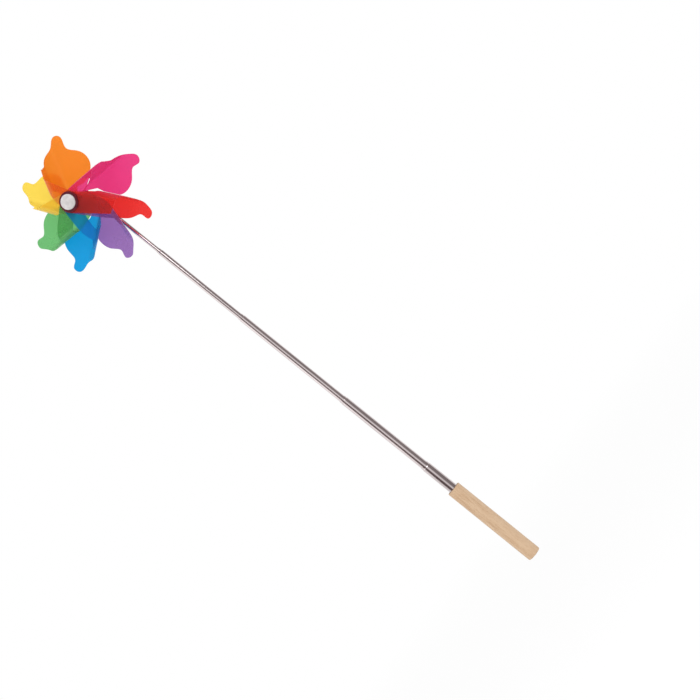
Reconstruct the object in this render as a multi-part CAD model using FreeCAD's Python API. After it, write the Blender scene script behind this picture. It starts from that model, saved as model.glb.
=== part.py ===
import FreeCAD, Part
import math
import os

# Hand-held telescopic pinwheel, in millimetres.
# The origin is the centre of the handle's bottom end, +Z runs up the rod and the rotor faces -Y.
# The rod is drawn partly pulled out: each section keeps some of its travel both ways.

os.makedirs("parts", exist_ok=True)

# ---- driving dimensions: handle and telescopic rod ----
HANDLE_R = 7.0
HANDLE_LENGTH = 91.0
HANDLE_FLOOR = 3.0
HANDLE_EDGE_ROUND = 0.7

TUBE_R = {"base": 4.6, "2": 3.95, "3": 3.3, "4": 2.65, "tip": 2.0}
TUBE_TOP = {"base": 124.0, "2": 218.0, "3": 337.0, "4": 434.0, "tip": 505.5}
TUBE_LENGTH = {"base": 121.0, "2": 124.0, "3": 130.0, "4": 130.0, "tip": 140.0}
TUBE_WALL = 0.35

RUN_CLEARANCE = 0.05
NECK_LENGTH = 3.0
NECK_STEP_IN = 0.3
NECK_TAPER = 0.7
FOOT_LIP_HEIGHT = 0.8
FOOT_LIP_STAND = 0.2
BUSH_HEIGHT = 5.0
BUSH_END_GAP = 0.1
BUSH_SLOT = 0.6
PLUG_HEIGHT = 3.0

# ---- driving dimensions: head and axle ----
AXLE_Z = 508.0
AXLE_R = 1.5
HEAD_R = 4.2
HEAD_BELOW = 10.0
HEAD_ABOVE = 5.0
HEAD_DOME = 1.6
HEAD_BOSS_R = 3.2
HEAD_BOSS_FRONT = 6.0
REAR_CAP_R = 3.4
REAR_CAP_LENGTH = 2.6
PIN_SOCKET_DEPTH = 1.6
CAP_R = 6.8
CAP_RIM_HEIGHT = 1.1
CAP_HEIGHT = 3.2

# ---- driving dimensions: rotor, as distances in front of the rod axis ----
BACK_LAYER = 22.0
LOOP_HEIGHT = 30.0
FILM = 0.4
FILM_PITCH = 0.5
SLEEVE_R = 3.2
SPIGOT_R = 2.1
FILM_HOLE_R = 2.2
REAR_WASHER_R = 6.4
FRONT_WASHER_R = 8.8
WASHER_THICK = 1.0
FACE_GAP = 0.1
BEAD_R = 3.0

# ---- driving dimensions: one petal, g along its ear, u to the anticlockwise side ----
ROOT_R = 9.3
FOLD_START = 9.4
FOLD_SIDE = 0.6
EAR_CENTRE = 59.0
EAR_R = 5.6
EAR_TURN_PER_REACH = 0.4
SLIT_G = 18.0
FOLD_SWEEP = 1.1
SHOULDER_STEP = 14.0
SHOULDER_MAX = 48.5
SHOULDER_ROOM = 6.0
ROOM = 0.6

# Clockwise from the front, the frontmost petal first. The film is set by hand, so no two sit alike:
# turn is the angle anticlockwise of even spacing, in degrees; reach is how far the fold stands out
# sideways; wrap is how far along the fold the strip to the hub starts; lobe scales the trailing lobe;
# slide moves the lobe towards the hub; corner widens the strip to the hub.
PETALS = [
    {"colour": "red", "turn": -13.0, "reach": 13.0, "wrap": 43.0, "lobe": 0.5,
     "corner": [(40.0, -2.5)]},
    {"colour": "violet", "turn": -1.0, "reach": 22.0, "wrap": 33.0, "lobe": 0.8},
    {"colour": "blue", "turn": 0.0, "reach": 24.0, "wrap": 28.0, "lobe": 1.0},
    {"colour": "green", "turn": 11.0, "reach": 20.0, "wrap": 33.0, "lobe": 0.95},
    {"colour": "yellow", "turn": 11.0, "reach": 17.0, "wrap": 33.0, "lobe": 1.0},
    {"colour": "orange", "turn": 11.0, "reach": 20.5, "wrap": 31.0, "lobe": 1.15, "slide": 4.0},
    {"colour": "pink", "turn": -17.0, "reach": 12.5, "wrap": 38.0, "lobe": 0.95},
]
FIRST_PETAL_ANGLE = -139.5
PETAL_STEP = 360.0 / len(PETALS)


def save(shape, node):
    """Write one piece as its own STEP file."""
    shape.exportStep("parts/" + node + ".step")


def vec(x, y, z=0.0):
    return FreeCAD.Vector(x, y, z)


def turned(profile):
    """Turn a closed outline of (radius, height) points about the Z axis."""
    points = [vec(r, 0, z) for r, z in profile]
    face = Part.Face(Part.makePolygon(points + points[:1]))
    return face.revolve(vec(0, 0), vec(0, 0, 1), 360)


def along_axle(radius, start, end):
    """A cylinder on the axle line between two distances in front of the rod axis."""
    return Part.makeCylinder(radius, end - start, vec(0, -start, AXLE_Z), vec(0, -1, 0))


def inner_of(name):
    """The section that slides inside the named one."""
    order = list(TUBE_R)
    return order[order.index(name) + 1]


# ---------------------------------------------------------------- handle and rod

def handle():
    """Turned wooden grip with a blind hole for the base tube."""
    grip = Part.makeCylinder(HANDLE_R, HANDLE_LENGTH)
    rims = [e for e in grip.Edges if e.Curve.TypeId == "Part::GeomCircle"]
    grip = grip.makeFillet(HANDLE_EDGE_ROUND, rims)
    hole = Part.makeCylinder(TUBE_R["base"], HANDLE_LENGTH, vec(0, 0, HANDLE_FLOOR))
    return grip.cut(hole)


def neck_points(name):
    """Outline of a tube's top end, swaged in to hold the next section."""
    radius = TUBE_R[name]
    top = TUBE_TOP[name]
    held = TUBE_R[inner_of(name)] + RUN_CLEARANCE
    return [
        (radius, top - NECK_LENGTH),
        (radius - NECK_STEP_IN, top - NECK_LENGTH + NECK_TAPER),
        (radius - NECK_STEP_IN, top),
        (held, top),
        (held, top - NECK_LENGTH + NECK_TAPER / 2),
        (radius - TUBE_WALL, top - NECK_LENGTH - NECK_TAPER / 2),
    ]


def foot_points(name):
    """Outline of a section's foot: a lip and a rolled bead with the bush between them."""
    radius = TUBE_R[name]
    foot = TUBE_TOP[name] - TUBE_LENGTH[name]
    proud = radius + FOOT_LIP_STAND
    bead = foot + FOOT_LIP_HEIGHT + BUSH_HEIGHT + 2 * BUSH_END_GAP
    return [
        (proud, foot),
        (proud, foot + FOOT_LIP_HEIGHT),
        (radius, foot + FOOT_LIP_HEIGHT),
        (radius, bead),
        (proud, bead),
        (proud, bead + FOOT_LIP_HEIGHT),
        (radius, bead + FOOT_LIP_HEIGHT),
    ]


def base_tube():
    """The fixed outermost section, pressed into the handle."""
    radius = TUBE_R["base"]
    foot = TUBE_TOP["base"] - TUBE_LENGTH["base"]
    return turned([(radius - TUBE_WALL, foot), (radius, foot)] + neck_points("base"))


def middle_tube(name):
    """A sliding tube with a foot for its bush and a neck for the next section."""
    foot = TUBE_TOP[name] - TUBE_LENGTH[name]
    bore_foot = [(TUBE_R[name] - TUBE_WALL, foot)]
    return turned(foot_points(name) + neck_points(name) + bore_foot)


def tip_rod():
    """The innermost section, a solid rod that carries the head."""
    foot = TUBE_TOP["tip"] - TUBE_LENGTH["tip"]
    top = [(TUBE_R["tip"], TUBE_TOP["tip"]), (0, TUBE_TOP["tip"]), (0, foot)]
    return turned(foot_points("tip") + top)


def bush(name, outer):
    """A split brass ring that rubs on the bore of the section outside it."""
    foot = TUBE_TOP[name] - TUBE_LENGTH[name] + FOOT_LIP_HEIGHT + BUSH_END_GAP
    outside = TUBE_R[outer] - TUBE_WALL - RUN_CLEARANCE
    ring = Part.makeCylinder(outside, BUSH_HEIGHT, vec(0, 0, foot))
    ring = ring.cut(Part.makeCylinder(TUBE_R[name] + RUN_CLEARANCE, BUSH_HEIGHT, vec(0, 0, foot)))
    slot = Part.makeBox(BUSH_SLOT, 2 * outside, BUSH_HEIGHT, vec(-BUSH_SLOT / 2, 0, foot))
    return ring.cut(slot)


def base_plug():
    """Plastic plug that closes the foot of the base tube and cushions the collapsed rod."""
    foot = TUBE_TOP["base"] - TUBE_LENGTH["base"]
    return Part.makeCylinder(TUBE_R["base"] - TUBE_WALL, PLUG_HEIGHT, vec(0, 0, foot))


# ---------------------------------------------------------------- head and axle

def head():
    """Moulded holder on top of the tip rod, with a boss that carries the axle pin."""
    bottom = AXLE_Z - HEAD_BELOW
    body = Part.makeCylinder(HEAD_R, HEAD_BELOW + HEAD_ABOVE, vec(0, 0, bottom))
    top_rim = [e for e in body.Edges if e.BoundBox.ZMin > AXLE_Z and e.Curve.TypeId == "Part::GeomCircle"]
    body = body.makeFillet(HEAD_DOME, top_rim)
    body = body.fuse(along_axle(HEAD_BOSS_R, 0, HEAD_BOSS_FRONT))
    socket = Part.makeCylinder(TUBE_R["tip"], TUBE_TOP["tip"] - bottom, vec(0, 0, bottom))
    pin_hole = along_axle(AXLE_R, -HEAD_R - 1, HEAD_BOSS_FRONT)
    return body.cut(socket).cut(pin_hole).removeSplitter()


def cap_seat():
    """Distance in front of the rod axis of the front cap's flat back."""
    return BACK_LAYER + LOOP_HEIGHT + FILM / 2 + 2 * FACE_GAP + WASHER_THICK


def axle_pin():
    """Steel pin through the head, with both ends held in caps."""
    rear = -HEAD_R - PIN_SOCKET_DEPTH
    front = cap_seat() + PIN_SOCKET_DEPTH
    return along_axle(AXLE_R, rear, front)


def rear_cap():
    """Push-on cap that stops the pin's rear end against the head."""
    cap = along_axle(REAR_CAP_R, -HEAD_R - REAR_CAP_LENGTH, -HEAD_R)
    back_rim = [e for e in cap.Edges if e.BoundBox.YMin > HEAD_R + REAR_CAP_LENGTH / 2]
    cap = cap.makeFillet(1.0, back_rim[:1])
    curve_room = along_axle(HEAD_R, -HEAD_R - REAR_CAP_LENGTH, 0).common(cap)
    socket = along_axle(AXLE_R, -HEAD_R - PIN_SOCKET_DEPTH, -HEAD_R)
    return curve_room.cut(socket)


def spacer_bead():
    """Loose bead on the pin that keeps the rotor off the head."""
    start = HEAD_BOSS_FRONT + FACE_GAP
    end = back_stack_rear() - 2 * FACE_GAP - WASHER_THICK
    return along_axle(BEAD_R, start, end).cut(along_axle(AXLE_R + RUN_CLEARANCE, start, end))


def front_cap():
    """Pearly domed cap pressed on the front end of the pin."""
    seat = cap_seat()
    crown = seat + CAP_HEIGHT
    rise = CAP_HEIGHT - CAP_RIM_HEIGHT
    dome_r = (CAP_R ** 2 + rise ** 2) / (2 * rise)
    dome = Part.makeSphere(dome_r, vec(0, dome_r - crown, AXLE_Z))
    cap = along_axle(CAP_R, seat, crown).common(dome)
    return cap.cut(along_axle(AXLE_R, seat, seat + PIN_SOCKET_DEPTH))


# ---------------------------------------------------------------- rotor

def back_stack_rear():
    """Rear face of the rearmost film at the back of the hub."""
    return BACK_LAYER - FILM_PITCH * (len(PETALS) - 1) - FILM / 2


def hub_sleeve():
    """Sleeve that turns on the pin and holds the two film stacks apart."""
    rear_washer_back = back_stack_rear() - FACE_GAP - WASHER_THICK
    front_washer_front = cap_seat() - FACE_GAP
    body_start = BACK_LAYER + FILM / 2 + FACE_GAP
    body_end = back_stack_rear() + LOOP_HEIGHT - FACE_GAP
    sleeve = along_axle(SPIGOT_R, rear_washer_back, front_washer_front)
    sleeve = sleeve.fuse(along_axle(SLEEVE_R, body_start, body_end))
    return sleeve.cut(along_axle(AXLE_R + RUN_CLEARANCE, rear_washer_back, front_washer_front))


def washer(radius, start):
    """Flat washer pressed on one end of the sleeve, outside a film stack."""
    end = start + WASHER_THICK
    return along_axle(radius, start, end).cut(along_axle(SPIGOT_R, start, end))


def plate(edges, low, high):
    """A flat outline in the petal's own plane, thickened from one height to another."""
    face = Part.Face(Part.Wire(edges))
    face.translate(vec(0, 0, low))
    return face.extrude(vec(0, 0, high - low))


def polygon_edges(points):
    return Part.makePolygon([vec(g, u) for g, u in points]).Edges


def rolled_sheet(reach):
    """Film bent into a C: flat at the back, rolled forward on the u side, flat at the front."""
    half = LOOP_HEIGHT / 2
    start_g = -ROOT_R - 1
    far_u = -30.0
    near_u = -ROOT_R - 1
    centre = vec(start_g, FOLD_START, half)
    loops = []
    for offset in (FILM / 2, -FILM / 2):
        tall = vec(start_g, FOLD_START, half + half + offset)
        wide = vec(start_g, reach + offset, half)
        ellipse = Part.Ellipse(tall, wide, centre)
        first = ellipse.parameter(vec(start_g, FOLD_START, -offset))
        last = ellipse.parameter(tall)
        side = ellipse.parameter(wide)
        low, high = (first, last + 2 * math.pi) if side > first else (last, first)
        loops.append(Part.ArcOfEllipse(ellipse, low, high).toShape())
    back_out = vec(start_g, FOLD_START, -FILM / 2)
    back_in = vec(start_g, FOLD_START, FILM / 2)
    front_out = vec(start_g, FOLD_START, LOOP_HEIGHT + FILM / 2)
    front_in = vec(start_g, FOLD_START, LOOP_HEIGHT - FILM / 2)
    back = Part.makePolygon([back_out, vec(start_g, far_u, -FILM / 2),
                             vec(start_g, far_u, FILM / 2), back_in])
    front = Part.makePolygon([front_in, vec(start_g, near_u, LOOP_HEIGHT - FILM / 2),
                              vec(start_g, near_u, LOOP_HEIGHT + FILM / 2), front_out])
    edges = Part.sortEdges(loops + back.Edges + front.Edges)[0]
    face = Part.Face(Part.Wire(edges))
    return face.extrude(vec(EAR_CENTRE + EAR_R + 2 - start_g, 0, 0))


def tangent_point(point, side):
    """Where the line from a point touches the round root, on the given side (+1 or -1)."""
    away = math.hypot(*point)
    angle = math.atan2(point[1], point[0]) + side * math.acos(ROOT_R / away)
    return (ROOT_R * math.cos(angle), ROOT_R * math.sin(angle))


def slit_edge(reach, u, room):
    """Where the slit edge, moved outwards by a little room, crosses the height u."""
    slit = (SLIT_G, reach - FOLD_SIDE)
    foot = tangent_point(slit, 1)
    slope = (slit[0] - foot[0]) / (slit[1] - foot[1])
    return foot[0] + slope * (u - foot[1]) - room * math.hypot(1, slope)


def outer_edge_marks(shape):
    """Distances out along the fold where the outer edge crosses it, and where it starts to the ear."""
    shoulder = min(shape["wrap"] + SHOULDER_STEP, SHOULDER_MAX)
    sweep = FOLD_SWEEP * (shape["reach"] - FOLD_START)
    return min(shape["wrap"] + sweep, shoulder - SHOULDER_ROOM), shoulder


def over_fold(shape, start):
    """The stretch over the fold, from a given distance in to the slit."""
    side = shape["reach"] - FOLD_SIDE
    beyond = shape["reach"] + 2
    return [(start, beyond), (SLIT_G, beyond), (SLIT_G, side)]


def front_outline(shape):
    """Front layer: a strip that narrows from the fold to its round end over the hub."""
    crossing, _ = outer_edge_marks(shape)
    strip_corner = (shape["wrap"], shape["reach"] - FOLD_SIDE)
    outer = shape.get("corner", []) + [strip_corner, (crossing, shape["reach"])]
    near = tangent_point(outer[0], -1)
    inside = over_fold(shape, crossing)
    strip = polygon_edges([near] + outer + inside + [tangent_point(inside[-1], 1), (0, 0), near])
    return plate(strip, LOOP_HEIGHT / 2, LOOP_HEIGHT + 2)


def ear_turn(reach):
    """How far the ear stands anticlockwise of the fold: a wider fold carries it further."""
    return math.radians((reach - FOLD_START) * EAR_TURN_PER_REACH)


def beside_ear(reach, points):
    """Points given along and beside the ear's own line, set in the fold's plane."""
    turn = ear_turn(reach)
    return [(g * math.cos(turn) - u * math.sin(turn), g * math.sin(turn) + u * math.cos(turn))
            for g, u in points]


def back_outline(shape):
    """Back layer: convex outer edge, rounded ear, wavy trailing edge and the narrow root arm."""
    reach = shape["reach"]
    side = reach - FOLD_SIDE
    crossing, shoulder = outer_edge_marks(shape)
    outer = [(crossing + SHOULDER_ROOM / 2, side), (shoulder, 0.985 * side),
             (shoulder + 6.0, 0.85 * reach), (shoulder + 11.0, 0.62 * reach)]
    ear = [(EAR_CENTRE + EAR_R * math.cos(a), EAR_R * math.sin(a)) for a in (1.0, 0.4, -0.3, -1.0)]
    trailing = [(54.5, -4.6), (50.5, -8.0), (46.5, -13.0), (40.0, -16.8), (32.0, -17.2),
                (25.0, -13.2), (19.5, -5.0)]
    lobe = [(g - shape.get("slide", 0.0), u * shape["lobe"]) for g, u in trailing]
    rim = outer + beside_ear(reach, ear + lobe)
    curve = Part.BSplineCurve()
    curve.interpolate([vec(g, u) for g, u in rim])
    fold = over_fold(shape, crossing)
    root_arm = [rim[-1], (15.5, 3.0), (7.0, 7.0), (0, 0), tangent_point(fold[-1], 1)]
    inside = polygon_edges(root_arm + fold[::-1] + [(crossing, reach), rim[0]])
    return plate([curve.toShape()] + inside, -2, LOOP_HEIGHT / 2)


def fold_room(reach, gap):
    """Space that the clockwise neighbour's fold needs, seen from a petal that lies over it."""
    half = LOOP_HEIGHT / 2
    lift = 1 - (FILM_PITCH + FILM) / half
    lap_over = FOLD_START + (reach - FOLD_START) * math.sqrt(1 - lift ** 2) + 2 * ROOM
    far = EAR_CENTRE + 20
    near = ROOT_R + ROOM / 2
    low_u = FOLD_START + ROOM
    start = (slit_edge(reach, low_u, ROOM), low_u)
    room = plate(polygon_edges([
        start, (slit_edge(reach, lap_over, ROOM), lap_over), (far, lap_over), (far, -far),
        (near, -far), (near, low_u), start]), -FILM, FILM)
    room.rotate(vec(0, 0), vec(0, 0, 1), -gap)
    return room


def fold_angle(index):
    """Direction of a petal's fold, in degrees anticlockwise of straight up."""
    shape = PETALS[index]
    return FIRST_PETAL_ANGLE - PETAL_STEP * index + shape["turn"] - math.degrees(ear_turn(shape["reach"]))


def petal(index):
    """One rolled film petal, set in its place around the axle."""
    shape = PETALS[index]
    neighbour = (index + 1) % len(PETALS)
    gap = (fold_angle(index) - fold_angle(neighbour)) % 360
    sheet = rolled_sheet(shape["reach"])
    root = Part.makeCylinder(ROOT_R, LOOP_HEIGHT + 4, vec(0, 0, -2))
    end_discs = sheet.common(root)
    back = sheet.common(back_outline(shape)).cut(fold_room(PETALS[neighbour]["reach"], gap))
    front = sheet.common(front_outline(shape))
    film = back.fuse([front, end_discs]).removeSplitter()
    film = film.cut(Part.makeCylinder(FILM_HOLE_R, LOOP_HEIGHT + 4, vec(0, 0, -2)))
    film.translate(vec(0, 0, BACK_LAYER - FILM_PITCH * index))
    angle = math.radians(fold_angle(index))
    along = vec(-math.sin(angle), 0, math.cos(angle))
    beside = vec(-math.cos(angle), 0, -math.sin(angle))
    place = FreeCAD.Matrix(
        along.x, beside.x, 0, 0,
        0, 0, -1, 0,
        along.z, beside.z, 0, AXLE_Z,
        0, 0, 0, 1)
    return film.transformed(place)


save(handle(), "handle")
save(base_tube(), "base_tube")
save(base_plug(), "base_plug")
for section in ("2", "3", "4"):
    save(middle_tube(section), "tube_" + section)
save(tip_rod(), "tip_rod")
for section in list(TUBE_R)[:-1]:
    inner = inner_of(section)
    save(bush(inner, section), "bush_" + inner)
save(head(), "head")
save(axle_pin(), "axle_pin")
save(rear_cap(), "rear_cap")
save(spacer_bead(), "spacer_bead")
save(front_cap(), "front_cap")
save(hub_sleeve(), "hub_sleeve")
save(washer(REAR_WASHER_R, back_stack_rear() - FACE_GAP - WASHER_THICK), "rear_washer")
save(washer(FRONT_WASHER_R, BACK_LAYER + LOOP_HEIGHT + FILM / 2 + FACE_GAP), "front_washer")
for number, shape in enumerate(PETALS):
    save(petal(number), "petal_" + shape["colour"])
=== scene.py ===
import math

import bpy
from mathutils import Matrix, Vector


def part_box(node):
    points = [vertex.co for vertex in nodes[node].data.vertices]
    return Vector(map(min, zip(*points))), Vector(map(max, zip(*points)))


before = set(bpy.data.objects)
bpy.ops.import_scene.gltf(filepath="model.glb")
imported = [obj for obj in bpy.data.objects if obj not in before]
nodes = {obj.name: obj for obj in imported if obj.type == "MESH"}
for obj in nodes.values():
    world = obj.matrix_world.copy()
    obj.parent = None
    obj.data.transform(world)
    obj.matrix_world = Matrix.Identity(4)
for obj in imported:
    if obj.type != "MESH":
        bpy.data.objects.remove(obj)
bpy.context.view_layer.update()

# The pinwheel's looks, stage and camera, in metres. Every piece is shown in its CAD shape.

# ---------------------------------------------------------------- driving values

STAGE_WHITE = 1.0
FLOOR_GREY = 0.93
FLOOR_BELOW = 0.30
FLOOR_SIZE = 60.0
FLOOR_FADE_FROM = 0.5
FLOOR_FADE_TO = 2.5

CAMERA_FROM_AXLE = Vector((0.2767, -0.8537, -0.3378))
CAMERA_LOOK = Vector((-0.2664, 0.9608, 0.0774)).normalized()
CAMERA_UP = Vector((0.7646, 0.1618, 0.6238))
CAMERA_LENS = 51.43
CAMERA_SENSOR = 36.0

# Each light: where it stands, where it aims, its size and its power in watts.
LIGHTS = {
    "key": ((0.9, -1.3, 1.3), (0, 0, 0.35), 1.0, 7.0),
    "fill": ((-1.2, -0.9, 0.7), (0, 0, 0.4), 1.4, 3.0),
}

# What shiny surfaces see round the horizon: share of the way round, and the colour there.
REFLECTED_PANELS = [
    (0.00, (0.95, 0.94, 0.94)), (0.075, (0.92, 0.90, 0.90)), (0.115, (0.12, 0.09, 0.09)),
    (0.240, (0.14, 0.10, 0.10)), (0.275, (0.90, 0.88, 0.88)), (0.335, (0.86, 0.84, 0.84)),
    (0.38, (0.27, 0.24, 0.24)), (0.56, (0.24, 0.21, 0.21)), (0.62, (0.98, 0.97, 0.97)),
    (1.00, (0.95, 0.94, 0.94)),
]

# How strongly one film surface takes up its tint: on light passing through, and in its pale body.
THROUGH_TINT = 0.5
BODY_TINT = 0.8
FILM_BODY_SHARE = 0.26
FILM_SHINE = 0.6


# ---------------------------------------------------------------- shader helpers

def new_material(name):
    """An empty node material with its output node."""
    material = bpy.data.materials.new(name)
    material.use_nodes = True
    tree = material.node_tree
    tree.nodes.clear()
    output = tree.nodes.new("ShaderNodeOutputMaterial")
    return material, tree, output


def add(tree, kind, **inputs):
    """Add a shader node and set its inputs by name, with spaces written as underscores."""
    node = tree.nodes.new(kind)
    for key, value in inputs.items():
        socket = node.inputs[key.replace("_", " ")]
        if isinstance(value, bpy.types.NodeSocket):
            tree.links.new(value, socket)
        else:
            socket.default_value = value
    return node


def maths(tree, operation, a, b=0.0):
    """One arithmetic step on two values or sockets."""
    node = tree.nodes.new("ShaderNodeMath")
    node.operation = operation
    for socket, value in zip(node.inputs, (a, b)):
        if isinstance(value, bpy.types.NodeSocket):
            tree.links.new(value, socket)
        else:
            socket.default_value = value
    return node.outputs[0]


def varied(tree, base, texture, amount):
    """A base value raised by a share of a texture's value."""
    return maths(tree, "ADD", base, maths(tree, "MULTIPLY", texture, amount))


def place(tree, scale=(1, 1, 1)):
    """Object coordinates in metres, scaled along each axis."""
    coords = tree.nodes.new("ShaderNodeTexCoord")
    mapping = add(tree, "ShaderNodeMapping", Vector=coords.outputs["Object"], Scale=scale)
    return mapping.outputs[0]


def noise(tree, where, scale, detail, roughness):
    """A noise value between 0 and 1."""
    node = add(tree, "ShaderNodeTexNoise", Vector=where, Scale=scale, Detail=detail, Roughness=roughness)
    return node.outputs["Fac"]


def ramp(tree, value, stops):
    """A colour ramp from (position, colour) stops."""
    node = tree.nodes.new("ShaderNodeValToRGB")
    elements = node.color_ramp.elements
    while len(elements) < len(stops):
        elements.new(0.5)
    for element, (position, colour) in zip(elements, stops):
        element.position = position
        element.color = tuple(colour) + (1.0,)
    tree.links.new(value, node.inputs[0])
    return node.outputs[0]


def bump(tree, height, strength, distance):
    """A surface normal pushed about by a height value."""
    node = add(tree, "ShaderNodeBump", Height=height, Strength=strength, Distance=distance)
    return node.outputs[0]


def linear(red, green, blue):
    """A colour picked on a 0 to 255 display scale, turned into scene-linear values."""
    values = []
    for channel in (red, green, blue):
        share = channel / 255
        values.append(share / 12.92 if share <= 0.04045 else ((share + 0.055) / 1.055) ** 2.4)
    return tuple(values)


def shade(colour, factor):
    """A colour made darker or lighter."""
    return tuple(channel * factor for channel in colour)


def paler(colour, power):
    """A colour made paler by a power below 1."""
    return tuple(channel ** power for channel in colour)


def multiplied(tree, base, over, share):
    """One colour multiplied by another, by a share."""
    node = tree.nodes.new("ShaderNodeMix")
    node.data_type = "RGBA"
    node.blend_type = "MULTIPLY"
    node.inputs["Factor"].default_value = share
    tree.links.new(base, node.inputs["A"])
    tree.links.new(over, node.inputs["B"])
    return node.outputs["Result"]


def mixed(tree, first, second, share):
    """Two shaders mixed by a value or socket."""
    node = add(tree, "ShaderNodeMixShader", Fac=share)
    tree.links.new(first.outputs[0], node.inputs[1])
    tree.links.new(second.outputs[0], node.inputs[2])
    return node


def finish_material(material, tree, surface, output):
    """Join the last shader to the output and hand the material back."""
    tree.links.new(surface.outputs[0], output.inputs[0])
    return material


# ---------------------------------------------------------------- materials

def wood():
    """Pale turned beech: fine long grain, short rays, end grain and a thin varnish."""
    material, tree, output = new_material("beech")
    along = place(tree, scale=(1, 1, 0.06))
    grain = noise(tree, along, scale=900.0, detail=5.0, roughness=0.62)
    bands = noise(tree, place(tree, scale=(1, 1, 0.10)), scale=130.0, detail=3.0, roughness=0.5)
    rays = noise(tree, place(tree, scale=(1, 1, 0.22)), scale=1500.0, detail=1.0, roughness=0.4)
    mix = maths(tree, "ADD", maths(tree, "MULTIPLY", grain, 0.55), maths(tree, "MULTIPLY", bands, 0.45))
    base = ramp(tree, mix, [
        (0.30, linear(172, 136, 102)), (0.45, linear(197, 164, 130)),
        (0.58, linear(208, 178, 146)), (0.75, linear(190, 154, 120))])
    flecks = ramp(tree, rays, [(0.60, (1, 1, 1)), (0.72, (0.80, 0.72, 0.64))])
    flecked = multiplied(tree, base, flecks, 0.7)
    normal = tree.nodes.new("ShaderNodeNewGeometry").outputs["True Normal"]
    upright = maths(tree, "ABSOLUTE", add(tree, "ShaderNodeSeparateXYZ", Vector=normal).outputs["Z"])
    end_grain = ramp(tree, upright, [(0.55, (1, 1, 1)), (0.85, (0.62, 0.56, 0.48))])
    surface = add(
        tree, "ShaderNodeBsdfPrincipled", Base_Color=multiplied(tree, flecked, end_grain, 1.0),
        Roughness=varied(tree, 0.42, grain, 0.18),
        Normal=bump(tree, grain, strength=0.22, distance=0.0002), Coat_Weight=0.12, Coat_Roughness=0.25)
    return finish_material(material, tree, surface, output)


def steel(name, tint, lines=1.0, rough=0.16):
    """Drawn bright steel: long fine draw lines, faint sliding scratches and soft smears."""
    material, tree, output = new_material(name)
    drawn = noise(tree, place(tree, scale=(1, 1, 0.012)), scale=4200.0, detail=3.0, roughness=0.6)
    smear = noise(tree, place(tree, scale=(1, 1, 0.25)), scale=60.0, detail=3.0, roughness=0.5)
    rings = noise(tree, place(tree, scale=(0.05, 0.05, 1)), scale=1600.0, detail=2.0, roughness=0.6)
    colour = ramp(tree, smear, [(0.35, shade(tint, 0.82)), (0.6, tint)])
    texture = varied(tree, drawn, rings, 0.25)
    surface = add(
        tree, "ShaderNodeBsdfPrincipled", Base_Color=colour, Metallic=1.0,
        Roughness=varied(tree, rough, smear, 0.14),
        Normal=bump(tree, texture, strength=0.06 * lines, distance=0.00001),
        Anisotropic=0.35)
    return finish_material(material, tree, surface, output)


def plastic(name, colour, rough=0.3, mottle=0.12, sheen=0.0):
    """Moulded plastic with a little colour drift, fine moulding texture and rubbed patches."""
    material, tree, output = new_material(name)
    cloud = noise(tree, place(tree), scale=260.0, detail=4.0, roughness=0.55)
    fine = noise(tree, place(tree), scale=2600.0, detail=2.0, roughness=0.5)
    drift = ramp(tree, cloud, [(0.3, shade(colour, 1.0 - mottle)), (0.7, colour)])
    surface = add(
        tree, "ShaderNodeBsdfPrincipled", Base_Color=drift,
        Roughness=varied(tree, rough, cloud, 0.15),
        Normal=bump(tree, fine, strength=0.12, distance=0.00004), Coat_Weight=sheen, Coat_Roughness=0.12)
    return finish_material(material, tree, surface, output)


def film(name, tint):
    """Frosted translucent film: tinted light comes through it, so that layers lying over
    each other turn deeper, with faint clouding and a satin front surface."""
    material, tree, output = new_material(name)
    haze = noise(tree, place(tree), scale=32.0, detail=2.0, roughness=0.45)
    pale = paler(tint, BODY_TINT)
    frost = noise(tree, place(tree), scale=1400.0, detail=3.0, roughness=0.6)
    body = ramp(tree, varied(tree, haze, frost, 0.08), [
        (0.30, shade(pale, 0.88)), (0.66, pale)])
    through = add(tree, "ShaderNodeBsdfTransparent", Color=paler(tint, THROUGH_TINT) + (1.0,))
    glow = add(tree, "ShaderNodeBsdfTranslucent", Color=body)
    face = add(tree, "ShaderNodeBsdfDiffuse", Color=body)
    satin = add(
        tree, "ShaderNodeBsdfGlossy", Color=(1.0, 1.0, 1.0, 1.0),
        Roughness=varied(tree, 0.30, haze, 0.15),
        Normal=bump(tree, frost, strength=0.10, distance=0.00005))
    frosted = mixed(tree, glow, face, 0.5)
    body_share = varied(tree, FILM_BODY_SHARE, haze, 0.08)
    seen = mixed(tree, through, frosted, body_share)
    edge = add(tree, "ShaderNodeFresnel", IOR=1.30)
    surface = mixed(tree, seen, satin, maths(tree, "MULTIPLY", edge.outputs[0], FILM_SHINE))
    return finish_material(material, tree, surface, output)


def paint(names, material):
    """Give CAD nodes one material."""
    for name in names:
        mesh = nodes[name].data
        mesh.materials.clear()
        mesh.materials.append(material)


FILMS = {
    "red": linear(246, 62, 58),
    "violet": linear(164, 122, 192),
    "blue": linear(22, 168, 230),
    "green": linear(122, 200, 128),
    "yellow": linear(255, 226, 92),
    "orange": linear(250, 146, 42),
    "pink": linear(242, 70, 142),
}

ROD = ["base_tube", "tube_2", "tube_3", "tube_4", "tip_rod"]
BUSHES = [name for name in nodes if name.startswith("bush_")]
WHITE_MOULDINGS = ["head", "rear_cap", "spacer_bead", "hub_sleeve"]

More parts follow.
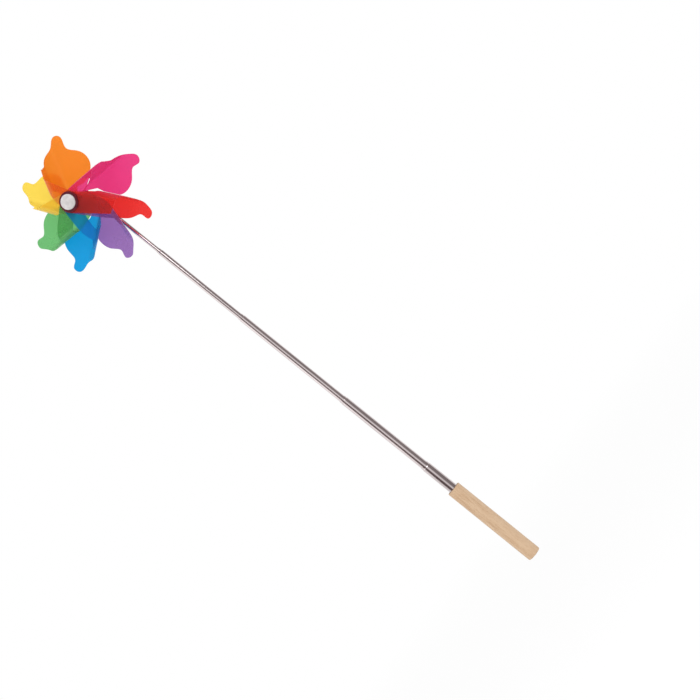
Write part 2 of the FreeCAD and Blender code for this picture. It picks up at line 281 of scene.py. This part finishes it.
paint(["handle"], wood())
paint(ROD, steel("drawn_steel", linear(226, 216, 216), rough=0.10))
paint(["axle_pin"], steel("pin_steel", linear(200, 198, 198), lines=0.6, rough=0.2))
paint(BUSHES, steel("sheet_brass", linear(205, 172, 104), rough=0.24))
paint(["base_plug"], plastic("black_plug", linear(34, 34, 36), rough=0.5))
paint(WHITE_MOULDINGS, plastic("white_plastic", linear(226, 223, 218)))
paint(["front_cap"], plastic("pearl", linear(208, 203, 202), rough=0.34, mottle=0.25, sheen=0.15))
# The washers' dark maroon is painted shade: it stands for the dark shadow ring seen round the front cap.
paint(["rear_washer", "front_washer"], plastic("maroon_painted_shade_ring", linear(96, 14, 38), mottle=0.3))
for colour_name, tint in FILMS.items():
    paint(["petal_" + colour_name], film("film_" + colour_name, tint))

for piece in nodes.values():
    for polygon in piece.data.polygons:
        polygon.use_smooth = True


# ---------------------------------------------------------------- stage, light and camera

def floor():
    """A plain pale floor well below the handle that fades into the white studio far away."""
    half = FLOOR_SIZE / 2
    level = -FLOOR_BELOW
    mesh = bpy.data.meshes.new("floor")
    corners = [(-half, -half, level), (half, -half, level), (half, half, level), (-half, half, level)]
    mesh.from_pydata(corners, [], [(0, 1, 2, 3)])
    obj = bpy.data.objects.new("floor", mesh)
    bpy.context.scene.collection.objects.link(obj)
    material, tree, output = new_material("studio_floor")
    coords = tree.nodes.new("ShaderNodeTexCoord")
    distance = add(tree, "ShaderNodeVectorMath")
    distance.operation = "LENGTH"
    tree.links.new(coords.outputs["Object"], distance.inputs[0])
    fade = add(tree, "ShaderNodeMapRange", Value=distance.outputs["Value"])
    fade.inputs["From Min"].default_value = FLOOR_FADE_FROM
    fade.inputs["From Max"].default_value = FLOOR_FADE_TO
    near = add(tree, "ShaderNodeBsdfDiffuse", Color=(FLOOR_GREY, FLOOR_GREY, FLOOR_GREY, 1.0))
    far = add(tree, "ShaderNodeEmission", Color=(1, 1, 1, 1), Strength=STAGE_WHITE)
    surface = mixed(tree, near, far, fade.outputs[0])
    mesh.materials.append(finish_material(material, tree, surface, output))
    obj.visible_glossy = False


def studio_world():
    """White all round. Shiny surfaces see dark and grey upright panels in it as well."""
    world = bpy.data.worlds.new("studio")
    bpy.context.scene.world = world
    world.use_nodes = True
    tree = world.node_tree
    tree.nodes.clear()
    output = tree.nodes.new("ShaderNodeOutputWorld")
    ray = tree.nodes.new("ShaderNodeLightPath")
    coords = tree.nodes.new("ShaderNodeTexCoord")
    parts = add(tree, "ShaderNodeSeparateXYZ", Vector=coords.outputs["Generated"])
    heading = maths(tree, "ARCTAN2", parts.outputs["Y"], parts.outputs["X"])
    share = maths(tree, "ADD", maths(tree, "DIVIDE", heading, 2 * math.pi), 0.5)
    reflected = ramp(tree, share, REFLECTED_PANELS)
    plain = add(tree, "ShaderNodeBackground", Color=(1, 1, 1, 1), Strength=STAGE_WHITE)
    banded = add(tree, "ShaderNodeBackground", Color=reflected, Strength=1.0)
    seen = mixed(tree, plain, banded, ray.outputs["Is Glossy Ray"])
    tree.links.new(seen.outputs[0], output.inputs[0])


def area_light(name, where, aim, size, power):
    """A round soft light turned to face a point."""
    data = bpy.data.lights.new(name, "AREA")
    data.shape = "DISK"
    data.size = size
    data.energy = power
    obj = bpy.data.objects.new(name, data)
    obj.location = where
    obj.rotation_euler = (Vector(aim) - Vector(where)).to_track_quat("-Z", "Y").to_euler()
    bpy.context.scene.collection.objects.link(obj)


def camera():
    """Seen from low on the right of the rotor and rolled, so that the rod runs down to the right."""
    pin_low, pin_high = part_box("axle_pin")
    axle = Vector((0, 0, (pin_low.z + pin_high.z) / 2))
    right = CAMERA_LOOK.cross(CAMERA_UP).normalized()
    up = right.cross(CAMERA_LOOK)
    data = bpy.data.cameras.new("camera")
    data.sensor_width = CAMERA_SENSOR
    data.lens = CAMERA_LENS
    data.clip_start = 0.01
    obj = bpy.data.objects.new("camera", data)
    turn = Matrix((right, up, -CAMERA_LOOK)).transposed().to_4x4()
    obj.matrix_world = Matrix.Translation(axle + CAMERA_FROM_AXLE) @ turn
    bpy.context.scene.collection.objects.link(obj)
    bpy.context.scene.camera = obj


floor()
studio_world()
for light_name, (where, aim, size, power) in LIGHTS.items():
    area_light(light_name, where, aim, size, power)
camera()
bpy.context.scene.view_settings.view_transform = "Standard"
